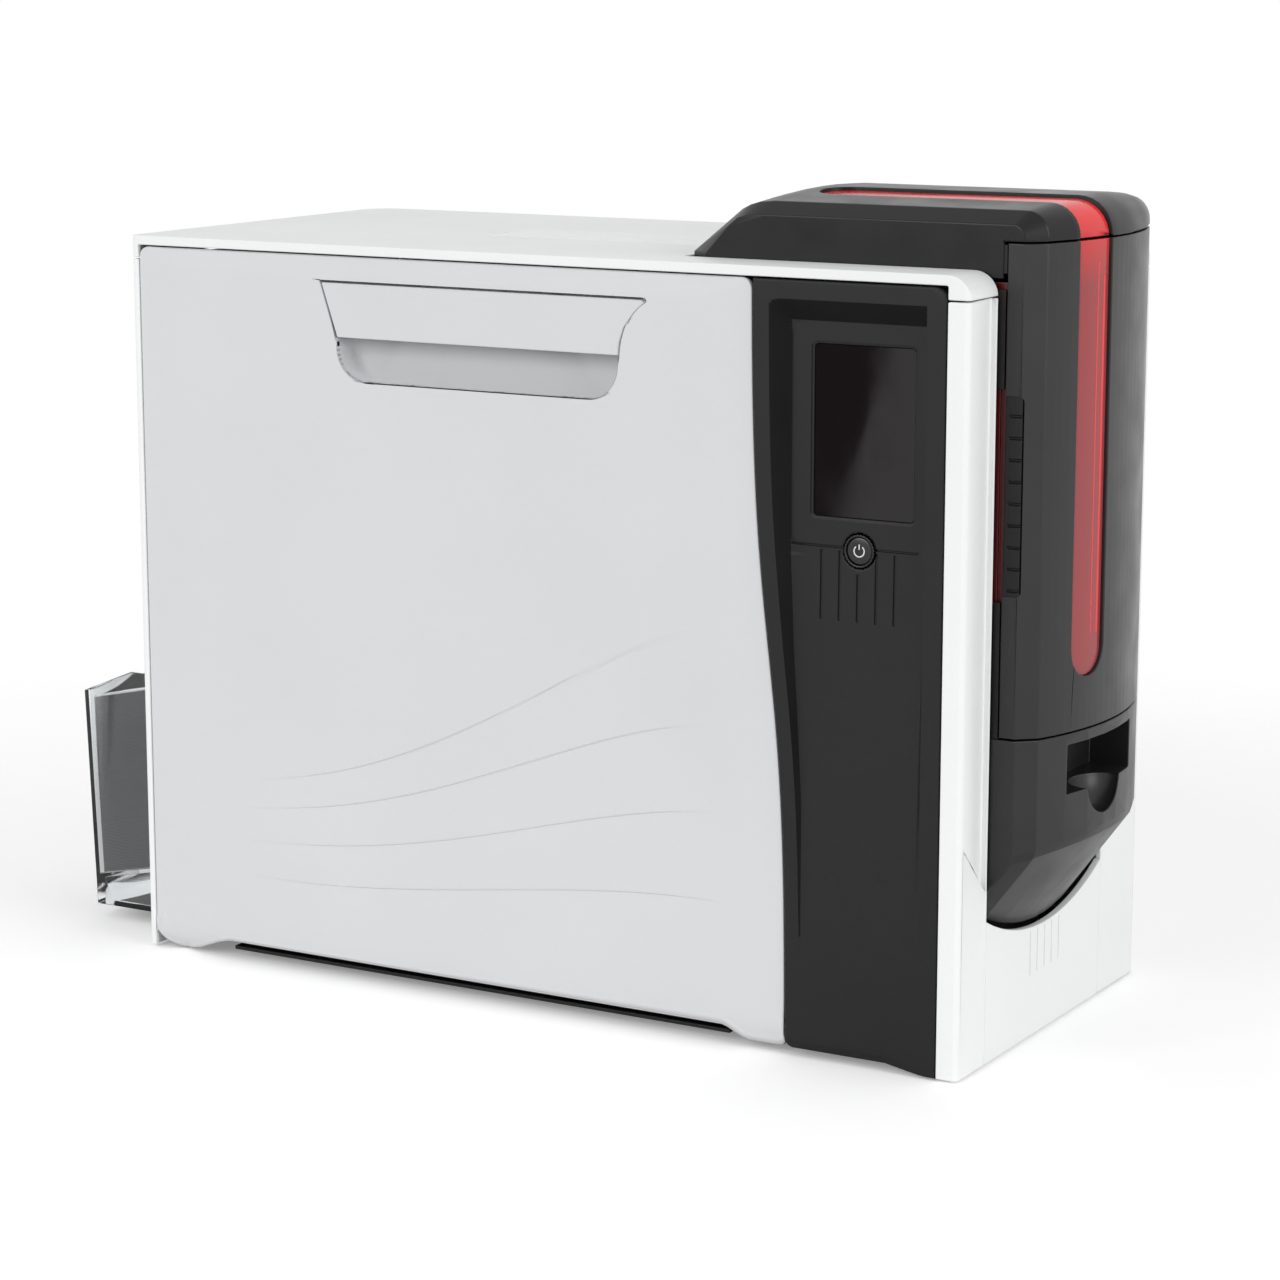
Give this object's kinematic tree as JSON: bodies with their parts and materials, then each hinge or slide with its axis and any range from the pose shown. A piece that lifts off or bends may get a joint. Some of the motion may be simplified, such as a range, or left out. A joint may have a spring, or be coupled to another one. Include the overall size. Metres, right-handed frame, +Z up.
{
  "type": "id card printer",
  "caption": "Desktop ID card printer with a drop-down side door, touch screen panel, hooded front card feeder and clear rear output hopper.",
  "frame": {"origin": "on the standing surface under the middle of the overall bounding box", "axes": "+X towards the card feeder at the front, -Y towards the drop-down side door, +Z up"},
  "size_m": [0.53, 0.21, 0.3794],
  "materials": {
    "casing_white": "satin white, fine texture",
    "door_grey": "light grey, fine texture",
    "panel_black": "black, fine texture",
    "ring_black": "gloss black",
    "screen_glass": "dark cover glass over the display",
    "module_grey": "grey moulding",
    "board_green": "solder mask with parts",
    "tray_black": "black, textured",
    "foot_rubber": "soft rubber",
    "pin_steel": "ground steel",
    "plate_steel": "zinc plated sheet",
    "feeder_grey": "dark grey, satin",
    "frame_dark": "dark moulding",
    "window_red": "tinted red",
    "magazine_red": "deep red",
    "dial_grey": "grey with a dark rim",
    "card_white": "blank cards",
    "card_printed": "edges of printed cards",
    "weight_dark": "powder coat",
    "roller_rubber": "ground rubber on a steel shaft",
    "hot_roller": "silicone sleeve",
    "spool_ribbon": "wound ribbon on a core",
    "spool_film": "wound clear film on a core",
    "web_ribbon": "thin ink ribbon",
    "web_film": "thin clear film",
    "cassette_grey": "grey moulding",
    "head_metal": "finned heat sink",
    "motor_metal": "motor can",
    "gear_brass": "cut teeth",
    "supply_metal": "pressed cover",
    "fan_black": "black moulding",
    "panel_rear": "dark panel with sockets",
    "clear_plastic": "clear moulding"
  },
  "bodies": {
    "casing": {"base_tray": "tray_black", "rubber_feet": "foot_rubber", "rear_cover": "casing_white", "far_side_cover": "casing_white", "front_cover": "casing_white", "front_insert": "casing_white", "top_cover": "casing_white", "control_panel": "panel_black", "display_glass": "screen_glass", "display_module": "module_grey", "button_ring": "ring_black", "button_board": "board_green", "door_hinge_pins": "pin_steel", "feeder_frame": "frame_dark", "feeder_chin": "feeder_grey", "hood_hinge_pin": "pin_steel", "front_hinge_pin": "pin_steel", "card_magazine": "magazine_red", "magazine_grip": "panel_black", "blank_cards": "card_white", "card_guides": "frame_dark", "io_panel": "panel_rear", "chassis_plate": "plate_steel", "bearing_plate": "plate_steel", "ribbon_cassette": "cassette_grey", "ribbon_web": "web_ribbon", "film_web": "web_film", "motor_bracket": "plate_steel", "drive_motors": "motor_metal", "main_board": "board_green", "power_supply": "supply_metal", "cooling_fan": "fan_black"},
    "side_door": {"side_door": "door_grey", "handle_pin": "pin_steel"},
    "handle": {"handle_flap": "door_grey"},
    "latch": {"latch_bar": "door_grey"},
    "power_button": {"power_button": "ring_black"},
    "hood": {"feeder_hood": "feeder_grey", "hood_window": "window_red"},
    "front_door": {"front_door_cover": "feeder_grey", "front_window": "window_red"},
    "dial": {"thickness_dial": "dial_grey"},
    "card_weight": {"card_weight": "weight_dark"},
    "pick_roller": {"pick_roller": "roller_rubber"},
    "path_roller_front": {"path_roller_front": "roller_rubber"},
    "path_roller_rear": {"path_roller_rear": "roller_rubber"},
    "pinch_roller_front": {"pinch_roller_front": "roller_rubber"},
    "pinch_roller_rear": {"pinch_roller_rear": "roller_rubber"},
    "ribbon_supply": {"ribbon_supply_spool": "spool_ribbon"},
    "ribbon_takeup": {"ribbon_takeup_spool": "spool_ribbon"},
    "film_supply": {"film_supply_spool": "spool_film"},
    "film_takeup": {"film_takeup_spool": "spool_film"},
    "platen": {"platen_roller": "roller_rubber"},
    "printhead": {"printhead": "head_metal"},
    "transfer_roller": {"transfer_roller": "hot_roller"},
    "pressure_roller": {"pressure_roller": "roller_rubber"},
    "pinion": {"drive_pinion": "gear_brass"},
    "fan": {"fan_rotor": "fan_black"},
    "hopper": {"output_hopper": "clear_plastic", "printed_cards": "card_printed"}
  },
  "joints": [
    {"name": "door_hinge", "type": "hinge", "parent": "casing", "child": "side_door", "pos_m": [-0.003, -0.098, 0.015], "axis": [1, 0, 0], "range_deg": [0, 90]},
    {"name": "handle_pull", "type": "hinge", "parent": "side_door", "child": "handle", "pos_m": [-0.01, -0.1024, 0.329], "axis": [-1, 0, 0], "range_deg": [0, 25], "stiffness_Nm_per_rad": 0.02, "springref_deg": -11.46},
    {"name": "latch_slide", "type": "slide", "parent": "side_door", "child": "latch", "axis": [0, 0, -1], "range_m": [0, 0.004]},
    {"name": "power_button_press", "type": "slide", "parent": "casing", "child": "power_button", "axis": [0, 1, 0], "range_m": [0, 0.0012], "stiffness_N_per_m": 400, "springref_m": -0.0005},
    {"name": "hood_hinge", "type": "hinge", "parent": "casing", "child": "hood", "pos_m": [0.0995, -0.013, 0.3505], "axis": [0, -1, 0], "range_deg": [0, 75]},
    {"name": "front_door_hinge", "type": "hinge", "parent": "casing", "child": "front_door", "pos_m": [0.244, 0.043, 0.26], "axis": [0, 0, 1], "range_deg": [0, 100]},
    {"name": "thickness_dial_turn", "type": "hinge", "parent": "casing", "child": "dial", "pos_m": [0.243, -0.048, 0.253], "axis": [1, 0, 0], "range_deg": [0, 180]},
    {"name": "card_weight_slide", "type": "slide", "parent": "casing", "child": "card_weight", "axis": [0, 0, 1], "range_m": [0, 0.06]},
    {"name": "pick_roller_spin", "type": "hinge", "parent": "casing", "child": "pick_roller", "pos_m": [0.2128, -0.044, 0.12912], "axis": [0, 1, 0], "continuous": true},
    {"name": "path_roller_front_spin", "type": "hinge", "parent": "casing", "child": "path_roller_front", "pos_m": [0.12, -0.044, 0.12932], "axis": [0, 1, 0], "continuous": true},
    {"name": "path_roller_rear_spin", "type": "hinge", "parent": "casing", "child": "path_roller_rear", "pos_m": [-0.11, -0.044, 0.12932], "axis": [0, 1, 0], "continuous": true},
    {"name": "pinch_roller_front_spin", "type": "hinge", "parent": "casing", "child": "pinch_roller_front", "pos_m": [0.12, -0.044, 0.14468], "axis": [0, 1, 0], "continuous": true},
    {"name": "pinch_roller_rear_spin", "type": "hinge", "parent": "casing", "child": "pinch_roller_rear", "pos_m": [-0.11, -0.044, 0.14468], "axis": [0, 1, 0], "continuous": true},
    {"name": "ribbon_supply_spin", "type": "hinge", "parent": "casing", "child": "ribbon_supply", "pos_m": [0.09, -0.044, 0.287], "axis": [0, 1, 0], "continuous": true},
    {"name": "ribbon_takeup_spin", "type": "hinge", "parent": "casing", "child": "ribbon_takeup", "pos_m": [0.09, -0.044, 0.215], "axis": [0, 1, 0], "continuous": true},
    {"name": "film_supply_spin", "type": "hinge", "parent": "casing", "child": "film_supply", "pos_m": [-0.13, -0.044, 0.28], "axis": [0, 1, 0], "continuous": true},
    {"name": "film_takeup_spin", "type": "hinge", "parent": "casing", "child": "film_takeup", "pos_m": [-0.13, -0.044, 0.209], "axis": [0, 1, 0], "continuous": true},
    {"name": "platen_spin", "type": "hinge", "parent": "casing", "child": "platen", "pos_m": [0.01, -0.044, 0.229], "axis": [0, 1, 0], "continuous": true},
    {"name": "printhead_lift", "type": "hinge", "parent": "casing", "child": "printhead", "pos_m": [0.044, -0.044, 0.281], "axis": [0, -1, 0], "range_deg": [0, 10]},
    {"name": "transfer_roller_spin", "type": "hinge", "parent": "casing", "child": "transfer_roller", "pos_m": [-0.045, -0.044, 0.15248], "axis": [0, 1, 0], "continuous": true},
    {"name": "pressure_roller_spin", "type": "hinge", "parent": "casing", "child": "pressure_roller", "pos_m": [-0.045, -0.044, 0.12732], "axis": [0, 1, 0], "continuous": true},
    {"name": "pinion_spin", "type": "hinge", "parent": "casing", "child": "pinion", "pos_m": [-0.00585, 0.017, 0.15248], "axis": [0, 1, 0], "continuous": true},
    {"name": "fan_spin", "type": "hinge", "parent": "casing", "child": "fan", "pos_m": [-0.195, 0.053, 0.215], "axis": [1, 0, 0], "continuous": true},
    {"name": "hopper_slide", "type": "slide", "parent": "casing", "child": "hopper", "axis": [-1, 0, 0], "range_m": [0, 0.06]}
  ],
  "couplings": [
    {"joint": "latch_slide", "follows": "handle_pull", "m_per_rad": 0.0078},
    {"joint": "pinion_spin", "follows": "transfer_roller_spin", "ratio": -2.25},
    {"joint": "pressure_roller_spin", "follows": "transfer_roller_spin", "ratio": -1.5556},
    {"joint": "pinch_roller_front_spin", "follows": "path_roller_front_spin", "ratio": -1},
    {"joint": "pinch_roller_rear_spin", "follows": "path_roller_rear_spin", "ratio": -1}
  ]
}
